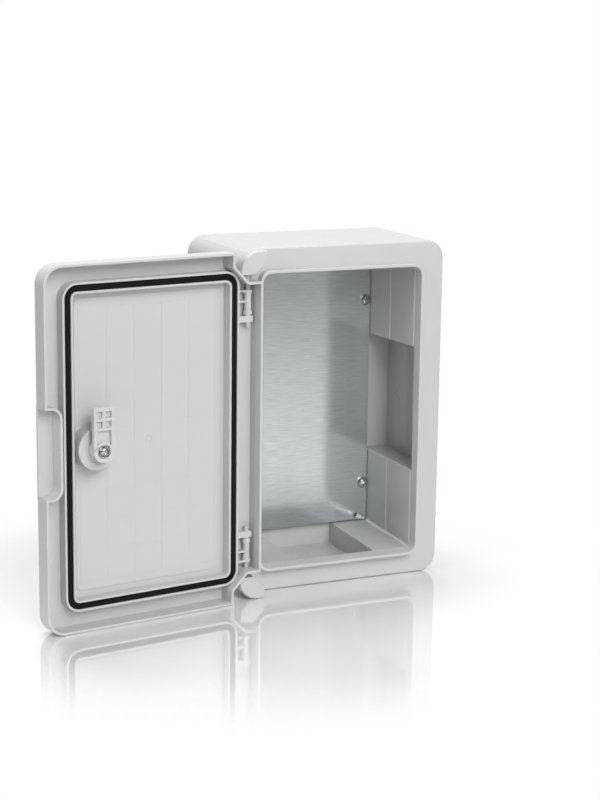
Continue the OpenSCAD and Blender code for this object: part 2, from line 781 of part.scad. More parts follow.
module cam_screw() color(steel) at_lock() translate([0, 0, cam_seat - cam_washer_t])
    mirror([0, 0, 1]) rotate([0, 0, first_turn])
        pan_screw(cam_head_r, cam_head_h, cam_screw_r, cam_screw_l);

housing();
mounting_plate();
plate_screw(0);  // plate_screw_1
plate_screw(1);  // plate_screw_2
plate_screw(2);  // plate_screw_3
plate_screw(3);  // plate_screw_4
plate_washer(0);  // plate_washer_1
plate_washer(1);  // plate_washer_2
plate_washer(2);  // plate_washer_3
plate_washer(3);  // plate_washer_4
door_panel();
door_gasket();
hinge_bracket_top();
hinge_bracket_bottom();
hinge_pin_top();
hinge_pin_bottom();
lock_barrel();
lock_base();
lock_seal();
lock_core();
core_ring();
lock_cam();
cam_washer();
cam_screw();
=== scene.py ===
"""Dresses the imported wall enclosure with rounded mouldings, finishes and a studio stage."""

import json
import math

import bmesh
import bpy
from mathutils import Matrix, Vector


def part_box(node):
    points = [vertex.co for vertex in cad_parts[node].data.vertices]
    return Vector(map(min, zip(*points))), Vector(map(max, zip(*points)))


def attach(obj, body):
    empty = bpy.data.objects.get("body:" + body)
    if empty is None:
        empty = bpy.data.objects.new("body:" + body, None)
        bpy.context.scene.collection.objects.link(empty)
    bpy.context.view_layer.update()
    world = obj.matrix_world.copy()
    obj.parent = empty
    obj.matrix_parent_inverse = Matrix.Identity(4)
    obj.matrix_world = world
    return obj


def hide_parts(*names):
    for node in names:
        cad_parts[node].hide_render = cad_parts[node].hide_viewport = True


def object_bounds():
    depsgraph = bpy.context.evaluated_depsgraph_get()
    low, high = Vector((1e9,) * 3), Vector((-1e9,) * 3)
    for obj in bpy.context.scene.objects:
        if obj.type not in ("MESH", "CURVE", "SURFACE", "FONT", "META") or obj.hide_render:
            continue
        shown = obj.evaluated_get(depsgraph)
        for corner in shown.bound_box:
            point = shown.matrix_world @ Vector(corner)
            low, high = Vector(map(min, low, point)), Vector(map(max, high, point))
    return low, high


bl_info = {
    "name": "Wall enclosure",
    "version": (1, 0, 0),
    "blender": (4, 5, 0),
    "location": "View3D > Sidebar > Enclosure",
    "description": "Dresses a hinged plastic wall enclosure and sets its studio stage",
    "category": "Add Mesh",
}

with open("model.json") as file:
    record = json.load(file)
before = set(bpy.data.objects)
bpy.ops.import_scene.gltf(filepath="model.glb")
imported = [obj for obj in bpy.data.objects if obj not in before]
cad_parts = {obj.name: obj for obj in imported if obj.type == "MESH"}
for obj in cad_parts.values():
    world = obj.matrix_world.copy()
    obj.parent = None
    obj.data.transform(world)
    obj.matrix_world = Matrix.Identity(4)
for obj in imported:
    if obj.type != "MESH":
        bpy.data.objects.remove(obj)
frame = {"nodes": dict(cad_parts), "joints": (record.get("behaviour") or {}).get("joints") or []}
cad_low, cad_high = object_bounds()

# Hinge of the door at rest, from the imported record: it turns the closed door to where it stands
door_joint = next(joint for joint in frame["joints"] if joint["name"] == "door_swing")
hinge_place = Vector(door_joint["pos_m"])
door_turn = -math.radians(door_joint["range_deg"][1])
on_door = (
    Matrix.Translation(hinge_place)
    @ Matrix.Rotation(door_turn, 4, "Z")
    @ Matrix.Translation(-hinge_place)
)

WHITE = (1.0, 1.0, 1.0, 1.0)

# Points closer than this are one point of a merged copy
MERGE_GAP = 2e-6
# Faces that differ by less than this lie in one plane
FLAT_ANGLE = math.radians(0.6)
# Thinner slivers than this are dropped from a merged copy
SLIVER = 2e-5
# Edges sharper than this are rounded, unless they are as sharp as a blade
SHARP_ANGLE = math.radians(28)
BLADE_ANGLE = math.radians(115)
# Edges that turn by less than this make one line, which is rounded evenly
TURN_ANGLE = math.radians(40)
# A rounding takes at most this share of the faces beside it
FACE_SHARE = 0.45
# Edges with less room than this share of a rounding are left out of it
LEAST_ROOM = 0.6
# Edges that meet in a narrower notch than this are left sharp
NOTCH_ANGLE = math.radians(75)
# Steps in a rounding, one more on the housing's large edges
EDGE_STEPS = 3
HOUSING_STEPS = 4
# Faces that differ by less than this shade as one, and large faces lead the shading
SMOOTH_ANGLE = math.radians(36)
AREA_WEIGHT = 100
# Corners of the round gate mark
GATE_CORNERS = 40
# Screws that hold the mounting plate, each with its washer
PLATE_SCREWS = 4

# Depths from the housing's rear to the inner rear wall, to the coves' front ends and to the front rim
REAR_WALL_DEPTH = 0.0098
COVE_DEPTH = 0.102
RIM_DEPTH = 0.1045
# Depth of the posts' front ends
POST_END = 0.004
# The coves' ends lie further to the side than this, and between these heights
COVE_SIDE = 0.0695
COVE_LOW = 0.1165
COVE_HIGH = 0.1275
# Faces further than this from the housing's sides are inside it
WALL_MARGIN = 0.0026

# Floor of the stage: its size, its gap below the box, its polish and the spot that mirrors the box
FLOOR_SIZE = 8.0
FLOOR_GAP = 0.0002
FLOOR_POLISH = 0.03
FLOOR_SPOT = (-0.09, -0.10, cad_low.z)
# Distances from that spot over which the floor turns white
WHITE_START = 0.20
WHITE_END = 0.34
# Distances over which mirrors see the white floor grow dim, and the share that is left of it
DIM_START = 0.35
DIM_END = 1.3
DIM_SHARE = 0.52
# Strength of the world's light at the horizon and overhead
HORIZON_LIGHT = 0.015
OVERHEAD_LIGHT = 0.06
# Glossy faces see a dim room in front of the box, and a white wall behind it
ROOM_LIGHT = 0.3
# Directions, from -1 in front to 1 behind, between which the room turns to the wall
WALL_START = -0.2
WALL_END = 0.4
# Point that the lamps are turned to
LAMP_AIM = Vector((-0.06, -0.10, 0.0))
# Width of the camera's frame in millimetres, and the nearest distance that it sees
FRAME_WIDTH = 36.0
NEAREST = 0.01


def length(name, description, default):
    """A size in metres for the sidebar."""
    return bpy.props.FloatProperty(
        name=name, description=description, default=default, min=0.0, unit="LENGTH", precision=5
    )


def amount(name, description, default):
    """A plain share for the sidebar."""
    return bpy.props.FloatProperty(
        name=name, description=description, default=default, min=0.0, max=1.0, subtype="FACTOR"
    )


def count(name, description, default):
    """A number of like things for the sidebar."""
    return bpy.props.IntProperty(name=name, description=description, default=default, min=1)


def colour(name, description, default):
    """A linear colour for the sidebar."""
    return bpy.props.FloatVectorProperty(
        name=name, description=description, default=default, size=3, min=0.0, max=1.0, subtype="COLOR"
    )


def angle(name, description, degrees):
    """An angle for the sidebar."""
    return bpy.props.FloatProperty(
        name=name, description=description, default=math.radians(degrees), subtype="ANGLE"
    )


def power(name, description, default):
    """A lamp's power in watts for the sidebar."""
    return bpy.props.FloatProperty(
        name=name, description=description, default=default, min=0.0, unit="POWER"
    )


class EnclosureMouldings(bpy.types.PropertyGroup):
    """Sizes and colours of the plastic and rubber pieces."""

    plastic: colour("Plastic", "Colour of the housing and the door", (0.515, 0.528, 0.521))
    fitting: colour("Fittings", "Colour of the lock and the hinges", (0.525, 0.537, 0.531))
    rubber: colour("Seal", "Colour of the foam seal", (0.0055, 0.0055, 0.0051))
    satin: amount("Satin", "Roughness of the outer faces", 0.42)
    gloss: amount("Gloss", "Roughness of the faces inside the box", 0.11)
    housing_edge: length("Housing edges", "Rounding of the housing's edges", 0.0006)
    mark_edge: length("Mark edges", "Rounding of the housing's drilling marks and small steps", 0.0002)
    door_edge: length("Door edges", "Rounding of the door's edges", 0.00045)
    seal_edge: length("Seal edges", "Rounding of the seal's edges", 0.0011)
    fitting_edge: length("Fitting edges", "Rounding of the edges on lock and hinges", 0.0003)


class EnclosureMetals(bpy.types.PropertyGroup):
    """Sizes and colours of the metal pieces."""

    zinc: colour("Zinc", "Colour of the galvanised plate", (0.595, 0.628, 0.63))
    plated: colour("Plated steel", "Colour of the screws and washers", (0.55, 0.57, 0.575))
    casting: colour("Casting", "Colour of the lock's turning core", (0.52, 0.53, 0.53))
    plate_edge: length("Plate edges", "Rounding of the edges on plate and core", 0.0002)
    washer_edge: length("Washer edges", "Rounding of the washers' edges", 0.00015)
    rolling: length("Rolling lines", "Distance between the plate's rolling lines", 0.0010)


class EnclosureRaster(bpy.types.PropertyGroup):
    """Sizes of the raised raster inside the door."""

    pitch: length("Pitch", "Distance between the raster's lines", 0.025)
    columns: count("Columns", "Fields across the door", 5)
    rows: count("Rows", "Fields up the door", 9)
    line: length("Line width", "Width of a raised line", 0.0006)
    rise: length("Line height", "Height of a line above the door's field", 0.00015)
    root: length("Line root", "Depth of a line below the door's field", 0.0001)
    depth: length("Field", "Distance of the closed door's field from the rear rim", 0.1219)
    gate: length("Gate mark", "Radius of the moulding's round gate mark", 0.0031)
    gate_rise: length("Gate height", "Height of the gate mark above the field", 0.0005)


class EnclosureStage(bpy.types.PropertyGroup):
    """Camera, lamps and floor."""

    azimuth: angle("Azimuth", "Turn of the camera round the box", -24.70)
    elevation: angle("Elevation", "Height of the camera above the horizon", 11.61)
    roll: angle("Roll", "Tilt of the camera", 0.72)
    target: bpy.props.FloatVectorProperty(
        name="Target", description="Point that the camera looks at",
        default=(-0.03668, -0.105, 0.01677), size=3, subtype="TRANSLATION",
    )
    distance: length("Distance", "Distance from the camera to its target", 1.63692)
    lens: bpy.props.FloatProperty(
        name="Lens", description="Focal length in millimetres", default=85.706, min=1.0
    )
    key: power("Key lamp", "Power of the wide lamp in front", 34.0)
    near: power("Near lamp", "Power of the small lamp near the camera", 8.0)
    side: power("Side lamp", "Power of the lamp at the right", 9.5)
    top: power("Top lamp", "Power of the lamp overhead", 40.0)
    low: power("Low lamp", "Power of the low lamp in front", 9.5)
    left: power("Left lamp", "Power of the lamp at the far left", 22.0)
    mirror: amount("Floor gloss", "Share of the floor's light that mirrors the box", 0.42)
    floor: colour("Floor", "Colour of the floor", (0.80, 0.80, 0.80))
    bounce: colour(
        "Floor bounce", "Colour that the far floor throws back onto the box", (0.45, 0.45, 0.45)
    )


def deselect():
    """Leaves edit mode and deselects everything."""
    if bpy.context.object is not None and bpy.context.object.mode != "OBJECT":
        bpy.ops.object.mode_set(mode="OBJECT")
    bpy.ops.object.select_all(action="DESELECT")


def pick(obj):
    """Selects one object and makes it active."""
    deselect()
    obj.select_set(True)
    bpy.context.view_layer.objects.active = obj


def apply_modifier(obj, kind, **values):
    """Adds a modifier with these values and applies it."""
    pick(obj)
    modifier = obj.modifiers.new(kind.lower(), kind)
    for key, value in values.items():
        setattr(modifier, key, value)
    bpy.ops.object.modifier_apply(modifier=modifier.name)


def weld(piece):
    """Merges points that lie together and drops the faces that have no area left."""
    pick(piece)
    bpy.ops.object.mode_set(mode="EDIT")
    bpy.ops.mesh.select_all(action="SELECT")
    bpy.ops.mesh.remove_doubles(threshold=MERGE_GAP)
    bpy.ops.mesh.dissolve_degenerate(threshold=MERGE_GAP)
    bpy.ops.object.mode_set(mode="OBJECT")


def merged_copy(node, name):
    """A copy of a CAD node with its points merged and its flat faces joined."""
    if node not in frame["nodes"]:
        raise RuntimeError(f"the frame has no node {node}")
    piece = bpy.data.objects.new(name, frame["nodes"][node].data.copy())
    bpy.context.scene.collection.objects.link(piece)
    piece.data.name = name
    piece.data.materials.clear()
    pick(piece)
    bpy.ops.mesh.customdata_custom_splitnormals_clear()
    bpy.ops.object.mode_set(mode="EDIT")
    bpy.ops.mesh.select_all(action="SELECT")
    bpy.ops.mesh.remove_doubles(threshold=MERGE_GAP)
    bpy.ops.mesh.dissolve_limited(angle_limit=FLAT_ANGLE)
    bpy.ops.mesh.dissolve_degenerate(threshold=SLIVER)
    bpy.ops.object.mode_set(mode="OBJECT")
    return piece


def room(edge, width):
    """Share of a rounding's width that the faces beside an edge have room for, or nought."""
    narrow = min(face.calc_area() for face in edge.link_faces) / max(edge.calc_length(), MERGE_GAP)
    share = min(1.0, FACE_SHARE * narrow / width)
    return share if share > LEAST_ROOM else 0.0


def runs_on(edge, other, corner):
    """Whether a line of edges runs through a corner without a sharp turn."""
    way = corner.co - edge.other_vert(corner).co
    return way.angle(other.other_vert(corner).co - corner.co, math.pi) < TURN_ANGLE


def even_out(mesh, weight):
    """Gives all edges of one line the least share among them, so that its rounding has no steps."""
    done = set()
    for first in mesh.edges:
        if not first[weight] or first in done:
            continue
        done.add(first)
        line = [first]
        for edge in line:
            for corner in edge.verts:
                for other in corner.link_edges:
                    if other[weight] and other not in done and runs_on(edge, other, corner):
                        done.add(other)
                        line.append(other)
        least = min(edge[weight] for edge in line)
        for edge in line:
            edge[weight] = least


def notched_edges(mesh):
    """Edges on both sides of every narrow notch in a face."""
    found = set()
    for face in mesh.faces:
        for loop in face.loops:
            if not loop.is_convex and loop.calc_angle() < NOTCH_ANGLE:
                found.update((loop.edge, loop.link_loop_prev.edge))
    return found


def bevel(piece, width, steps, chosen):
    """Rounds the sharp edges that chosen(edge) picks, where there is room for it."""
    mesh = bmesh.new()
    mesh.from_mesh(piece.data)
    layers = mesh.edges.layers.float
    weight = layers.get("bevel_weight_edge") or layers.new("bevel_weight_edge")
    notched = notched_edges(mesh)
    for edge in mesh.edges:
        sharp = len(edge.link_faces) == 2 and SHARP_ANGLE < edge.calc_face_angle() < BLADE_ANGLE
        sharp = sharp and edge not in notched
        edge[weight] = room(edge, width) if sharp and chosen(edge) else 0.0
    even_out(mesh, weight)
    mesh.to_mesh(piece.data)
    mesh.free()
    apply_modifier(
        piece, "BEVEL", width=width, segments=steps, limit_method="WEIGHT", use_clamp_overlap=False
    )
    weld(piece)


def outer(edge):
    """Whether an edge sticks out and isn't an inner corner."""
    return edge.is_convex


def leave_rims(piece, width):
    """Cuts the middle out of every face, so that only its rim of this width stays."""
    pick(piece)
    bpy.ops.object.transform_apply(location=True, rotation=True, scale=True)
    bpy.ops.object.mode_set(mode="EDIT")
    bpy.ops.mesh.select_mode(type="FACE")
    bpy.ops.mesh.select_all(action="SELECT")
    bpy.ops.mesh.inset(thickness=width, use_individual=True)
    bpy.ops.mesh.delete(type="FACE")
    bpy.ops.object.mode_set(mode="OBJECT")


def thicken(piece, rise, root):
    """Gives a flat piece this height above its face and this depth below it."""
    thick = rise + root
    apply_modifier(piece, "SOLIDIFY", thickness=thick, offset=(rise - root) / thick)


def soften(piece):
    """Smooth shading that keeps the flat faces flat."""
    pick(piece)
    bpy.ops.object.shade_smooth_by_angle(angle=SMOOTH_ANGLE)
    apply_modifier(piece, "WEIGHTED_NORMAL", mode="FACE_AREA", keep_sharp=True, weight=AREA_WEIGHT)


def seat(piece, body, slot, *nodes):
    """The piece rides on a body and stands for these CAD nodes."""
    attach(piece, body)
    if nodes:
        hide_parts(*nodes)


def dress(node, name, body, slot, finish, width=0.0):
    """A copy of a CAD node in a finish, with its edges rounded by a width or left as they are."""
    piece = merged_copy(node, name)
    if width:
        bevel(piece, width, EDGE_STEPS, outer)
    piece.data.materials.append(finish)
    soften(piece)
    seat(piece, body, slot, node)


def coat(node, finish):
    """Puts a finish on a CAD node that is shown as it is packed."""
    materials = frame["nodes"][node].data.materials
    materials.clear()
    materials.append(finish)


class NodeBuilder:
    """Adds the nodes of one tree and joins them."""

    def __init__(self, tree):
        self.tree = tree

    def add(self, kind, inputs=None, **values):
        """A node with its properties set, and its inputs set to values or joined to outputs."""
        node = self.tree.nodes.new(kind)
        for key, value in values.items():
            setattr(node, key, value)
        for socket, value in (inputs or {}).items():
            if isinstance(value, bpy.types.NodeSocket):
                self.tree.links.new(value, node.inputs[socket])
            else:
                node.inputs[socket].default_value = value
        return node

    def spread(self, pattern, low, high, start=0.0, end=1.0, **values):
        """Maps a pattern's range from start to end onto the range from low to high."""
        ends = {"From Min": start, "From Max": end, "To Min": low, "To Max": high}
        return self.add("ShaderNodeMapRange", {"Value": pattern, **ends}, **values).outputs["Result"]

    def larger(self, first, second):
        """The larger one of two values."""
        terms = {0: first, 1: second}
        return self.add("ShaderNodeMath", terms, operation="MAXIMUM").outputs["Value"]

    def mixed_colour(self, factor, first, second):
        """Two colours mixed by a factor."""
        ends = {"A": (*first, 1.0), "B": (*second, 1.0), "Factor": factor}
        return self.add("ShaderNodeMix", ends, data_type="RGBA").outputs["Result"]

    def mixed_shader(self, factor, first, second):
        """Two shaders mixed by a factor."""
        ends = {"Fac": factor, 1: first, 2: second}
        return self.add("ShaderNodeMixShader", ends).outputs["Shader"]


class Finish(NodeBuilder):
    """A material with patterns on its piece's own coordinates."""

    def __init__(self, name):
        self.material = bpy.data.materials.new(name)
        self.material.use_nodes = True
        super().__init__(self.material.node_tree)
        self.shader = self.tree.nodes["Principled BSDF"]
        self.place = self.add("ShaderNodeTexCoord").outputs["Object"]

    def feed(self, socket, output):
        """Joins an output to one of the shader's inputs."""
        self.tree.links.new(output, self.shader.inputs[socket])

    def stretched(self, repeats):
        """Coordinates with these repeats per metre along the three axes."""
        settings = {"Scale": repeats, "Vector": self.place}
        return self.add("ShaderNodeMapping", settings).outputs["Vector"]

    def noise(self, scale, detail=2.0, rough=0.5, place=None):
        """A noise pattern from 0 to 1."""
        settings = {"Scale": scale, "Detail": detail, "Roughness": rough}
        settings["Vector"] = place or self.place
        return self.add("ShaderNodeTexNoise", settings).outputs["Fac"]

    def cells(self, scale):
        """A cell pattern: distances from the cells' middles."""
        settings = {"Scale": scale, "Vector": self.place}
        return self.add("ShaderNodeTexVoronoi", settings).outputs["Distance"]

    def tint(self, pattern, tone, dark, light):
        """Base colour that follows a pattern from a darker share of a tone to a lighter one."""
        ends = [tuple(min(1.0, part * share) for part in tone) for share in (dark, light)]
        self.feed("Base Color", self.mixed_colour(pattern, *ends))

    def rough(self, pattern, low, high):
        """Roughness that follows a pattern between two values."""
        self.feed("Roughness", self.spread(pattern, low, high))

    def bump(self, pattern, strength, distance):
        """Adds relief from a pattern, over any relief that is there already."""
        settings = {"Height": pattern, "Strength": strength, "Distance": distance}
        before = self.shader.inputs["Normal"].links
        if before:
            settings["Normal"] = before[0].from_socket
        self.feed("Normal", self.add("ShaderNodeBump", settings).outputs["Normal"])


def moulded_plastic(name, tone, roughness):
    """Light grey moulding with a very fine grain and a slight cloud in tone and gloss."""
    finish = Finish(name)
    finish.tint(finish.noise(scale=14.0, detail=3.0, rough=0.55), tone, dark=0.985, light=1.015)
    finish.rough(finish.noise(scale=160.0, detail=3.0), roughness - 0.04, roughness + 0.04)
    finish.bump(finish.noise(scale=2600.0, rough=0.6), strength=0.10, distance=0.00003)
    finish.bump(finish.noise(scale=55.0, detail=1.0), strength=0.05, distance=0.0004)
    finish.shader.inputs["IOR"].default_value = 1.5
    return finish.material


def foam_rubber(name, tone):
    """Black cellular foam with a soft matt skin."""
    finish = Finish(name)
    finish.tint(finish.noise(scale=240.0, detail=4.0, rough=0.65), tone, dark=0.7, light=1.5)
    finish.rough(finish.noise(scale=900.0), low=0.72, high=0.9)
    finish.bump(finish.cells(scale=1500.0), strength=0.35, distance=0.00012)
    finish.bump(finish.noise(scale=120.0), strength=0.12, distance=0.0004)
    finish.shader.inputs["Specular IOR Level"].default_value = 0.12
    return finish.material


def galvanised_sheet(name, tone, rolling):
    """Zinc sheet with level rolling lines and faint spangle."""
    finish = Finish(name)
    long_lines = finish.stretched((60.0, 60.0, 1.0 / rolling))
    short_lines = finish.stretched((130.0, 130.0, 3.0 / rolling))
    lines = finish.noise(scale=1.0, detail=3.0, rough=0.6, place=long_lines)
    fine = finish.noise(scale=1.0, place=short_lines)
    finish.tint(finish.spread(lines, low=-0.4, high=1.4), tone, dark=0.82, light=1.15)
    finish.rough(fine, low=0.06, high=0.12)
    finish.bump(lines, strength=0.17, distance=0.00025)
    finish.bump(fine, strength=0.10, distance=0.0001)
    finish.bump(finish.cells(scale=75.0), strength=0.012, distance=0.0006)
    finish.shader.inputs["Metallic"].default_value = 0.65
    return finish.material


def plated_steel(name, tone):
    """Bright plated steel with a fine grain."""
    finish = Finish(name)
    finish.tint(finish.noise(scale=420.0, detail=3.0), tone, dark=0.92, light=1.04)
    finish.rough(finish.noise(scale=1300.0, detail=3.0), low=0.08, high=0.17)
    finish.bump(finish.noise(scale=2400.0), strength=0.08, distance=0.00004)
    finish.shader.inputs["Metallic"].default_value = 1.0
    return finish.material


def zinc_casting(name, tone):
    """Dull die-cast metal with a fine blasted grain."""
    finish = Finish(name)
    finish.tint(finish.noise(scale=300.0, detail=4.0), tone, dark=0.9, light=1.06)
    finish.rough(finish.noise(scale=700.0), low=0.30, high=0.44)
    finish.bump(finish.noise(scale=3200.0), strength=0.22, distance=0.00005)
    finish.shader.inputs["Metallic"].default_value = 1.0
    return finish.material


def made(name, build, *values):
    """The material of this name, built once."""
    return bpy.data.materials.get(name) or build(name, *values)


def housing_satin(mouldings):
    """Finish of the door and of the housing's outside."""
    return made("housing_satin", moulded_plastic, tuple(mouldings.plastic), mouldings.satin)


def fitting_satin(mouldings):
    """Finish of the hinges and of the lock's plastic pieces."""
    return made("fitting_satin", moulded_plastic, tuple(mouldings.fitting), mouldings.satin)


def seal_foam(mouldings):
    """Finish of the door's seal and of the lock's small seals."""
    return made("foam_rubber", foam_rubber, tuple(mouldings.rubber))


def turned_steel(metals):
    """Finish of the screws and washers."""
    return made("turned_steel", plated_steel, tuple(metals.plated))


class ENCLOSURE_OT_housing(bpy.types.Operator):
    """Moulded housing with rounded edges, satin outside and glossier inside"""

    bl_idname = "enclosure.housing"
    bl_label = "Housing"

    def execute(self, context):
        values = context.scene.enclosure_mouldings
        low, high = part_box("housing")
        rim = high.y - RIM_DEPTH
        rear = high.y - REAR_WALL_DEPTH

        def cove_end(place):
            return abs(place.x) > COVE_SIDE and COVE_LOW < abs(place.z) < COVE_HIGH

        def outer_clear(edge):
            # a post's edge that fades into the rim's rounding stays sharp, and so do the coves' ends
            start, end = sorted((corner.co for corner in edge.verts), key=lambda place: place.y)
            fading = start.y < low.y + POST_END and end.y > rim
            cove = start.y > high.y - COVE_DEPTH and cove_end(start) and cove_end(end)
            return outer(edge) and not fading and not cove

        piece = merged_copy("housing", "moulded_housing")
        bevel(piece, values.housing_edge, HOUSING_STEPS, outer_clear)
        bevel(piece, values.mark_edge, EDGE_STEPS, outer_clear)
        gloss = made("housing_gloss", moulded_plastic, tuple(values.plastic), values.gloss)
        piece.data.materials.append(housing_satin(values))
        piece.data.materials.append(gloss)
        for face in piece.data.polygons:
            middle = face.center
            inside = low.x + WALL_MARGIN < middle.x < high.x - WALL_MARGIN
            inside = inside and low.z + WALL_MARGIN < middle.z < high.z - WALL_MARGIN
            face.material_index = 1 if inside and rim < middle.y < rear else 0
        soften(piece)
        seat(piece, "housing", "housing_plastic", "housing")
        return {"FINISHED"}


class ENCLOSURE_OT_plate(bpy.types.Operator):
    """Galvanised mounting plate"""

    bl_idname = "enclosure.plate"
    bl_label = "Mounting plate"

    def execute(self, context):
        values = context.scene.enclosure_metals
        zinc = made("galvanised_sheet", galvanised_sheet, tuple(values.zinc), values.rolling)
        dress(
            "mounting_plate", "galvanised_plate", "housing", "galvanised_steel",
            zinc, values.plate_edge,
        )
        return {"FINISHED"}


class ENCLOSURE_OT_plate_screws(bpy.types.Operator):
    """Pan-head screws and washers that hold the mounting plate"""

    bl_idname = "enclosure.plate_screws"
    bl_label = "Plate screws"

    def execute(self, context):
        values = context.scene.enclosure_metals
        steel = turned_steel(values)
        for number in range(1, PLATE_SCREWS + 1):
            dress(f"plate_screw_{number}", f"cross_screw_{number}", "housing", "plated_steel", steel)
            dress(
                f"plate_washer_{number}", f"screw_washer_{number}", "housing", "plated_steel",
                steel, values.washer_edge,
            )
        return {"FINISHED"}


class ENCLOSURE_OT_door(bpy.types.Operator):
    """Moulded door with its rim, seal walls and finger pull"""

    bl_idname = "enclosure.door"
    bl_label = "Door"

    def execute(self, context):
        values = context.scene.enclosure_mouldings
        satin = housing_satin(values)
        dress("door_panel", "moulded_door", "door", "housing_plastic", satin, values.door_edge)
        return {"FINISHED"}


class ENCLOSURE_OT_raster(bpy.types.Operator):
    """Faint raised raster on the field inside the door"""

    bl_idname = "enclosure.raster"
    bl_label = "Door raster"

    def execute(self, context):
        raster = context.scene.enclosure_raster
        upright = {"location": (0.0, -raster.depth, 0.0), "rotation": (-math.pi / 2, 0.0, 0.0)}
        deselect()
        bpy.ops.mesh.primitive_grid_add(
            x_subdivisions=raster.columns, y_subdivisions=raster.rows, size=1.0, **upright
        )
        piece = context.object
        piece.name = "door_raster"
        piece.scale = (
            raster.columns * raster.pitch + raster.line, raster.rows * raster.pitch + raster.line, 1.0
        )
        leave_rims(piece, raster.line / 2)
        thicken(piece, raster.rise, raster.root)
        deselect()
        bpy.ops.mesh.primitive_circle_add(
            vertices=GATE_CORNERS, radius=raster.gate, fill_type="NGON", **upright
        )
        mark = context.object
        leave_rims(mark, raster.line)
        thicken(mark, raster.gate_rise, raster.root)
        pick(piece)
        mark.select_set(True)
        bpy.ops.object.join()
        piece.matrix_world = on_door
        pick(piece)
        bpy.ops.object.transform_apply(location=True, rotation=True, scale=True)
        piece.data.name = piece.name
        piece.data.materials.append(housing_satin(context.scene.enclosure_mouldings))
        soften(piece)
        seat(piece, "door", "housing_plastic")
        return {"FINISHED"}


class ENCLOSURE_OT_seal(bpy.types.Operator):
    """Foam seal in the door's channel"""

    bl_idname = "enclosure.seal"
    bl_label = "Door seal"

    def execute(self, context):
        values = context.scene.enclosure_mouldings
        foam = seal_foam(values)
        dress("door_gasket", "foam_seal", "door", "gasket_rubber", foam, values.seal_edge)
        return {"FINISHED"}


class ENCLOSURE_OT_hinges(bpy.types.Operator):
    """Hinge brackets and pins at both ends of the door"""

    bl_idname = "enclosure.hinges"
    bl_label = "Hinges"

    def execute(self, context):
        values = context.scene.enclosure_mouldings
        fitting = fitting_satin(values)
        for end in ("top", "bottom"):
            for node, name in (("hinge_bracket", "hinge_barrel"), ("hinge_pin", "hinge_spindle")):
                dress(
                    f"{node}_{end}", f"{name}_{end}", "door", "fitting_plastic",
                    fitting, values.fitting_edge,
                )
        return {"FINISHED"}


class ENCLOSURE_OT_lock(bpy.types.Operator):
    """Lock fixed in the door: outer flange, inner base and seal"""

    bl_idname = "enclosure.lock"
    bl_label = "Lock body"

    def execute(self, context):
        values = context.scene.enclosure_mouldings
        fitting = fitting_satin(values)
        dress("lock_barrel", "lock_flange", "door", "fitting_plastic", fitting, values.fitting_edge)
        dress("lock_base", "lock_ring_nut", "door", "fitting_plastic", fitting, values.fitting_edge)
        coat("lock_seal", seal_foam(values))
        return {"FINISHED"}


class ENCLOSURE_OT_latch(bpy.types.Operator):
    """Turning core of the lock with its cam, washer, screw and ring"""

    bl_idname = "enclosure.latch"
    bl_label = "Latch"

    def execute(self, context):
        mouldings = context.scene.enclosure_mouldings
        metals = context.scene.enclosure_metals
        fitting = fitting_satin(mouldings)
        steel = turned_steel(metals)
        casting = made("blasted_casting", zinc_casting, tuple(metals.casting))
        dress("lock_cam", "latch_cam", "lock", "fitting_plastic", fitting, mouldings.fitting_edge)
        dress("lock_core", "latch_core", "lock", "zinc_casting", casting, metals.plate_edge)
        dress("cam_washer", "latch_washer", "lock", "plated_steel", steel, metals.washer_edge)
        dress("cam_screw", "latch_screw", "lock", "plated_steel", steel)
        coat("core_ring", seal_foam(mouldings))
        return {"FINISHED"}


def area_lamp(name, watts, place, width, height):
    """A soft lamp that points at the box and isn't seen itself."""
    light = bpy.data.lights.new(name, "AREA")
    light.shape = "RECTANGLE"
    light.size = width
    light.size_y = height
    light.energy = watts
    lamp = bpy.data.objects.new(name, light)
    bpy.context.scene.collection.objects.link(lamp)
    lamp.location = place
    lamp.rotation_euler = (LAMP_AIM - lamp.location).to_track_quat("-Z", "Y").to_euler()
    lamp.visible_camera = False


def studio_lamps(values):
    """Lamps in front, near the camera, at the right, overhead, low in front and at the far left."""
    area_lamp("key_lamp", values.key, place=(0.08, -2.03, 1.43), width=1.5, height=1.2)
    area_lamp("near_lamp", values.near, place=(-0.36, -2.25, 0.90), width=0.7, height=0.5)
    area_lamp("side_lamp", values.side, place=(1.20, -1.36, 1.61), width=1.0, height=1.0)
    area_lamp("top_lamp", values.top, place=(-0.06, 0.60, 2.20), width=1.0, height=1.0)
    area_lamp("low_lamp", values.low, place=(-0.20, -2.48, 0.26), width=1.0, height=0.6)
    area_lamp("left_lamp", values.left, place=(-2.11, -0.46, 1.20), width=1.0, height=1.0)


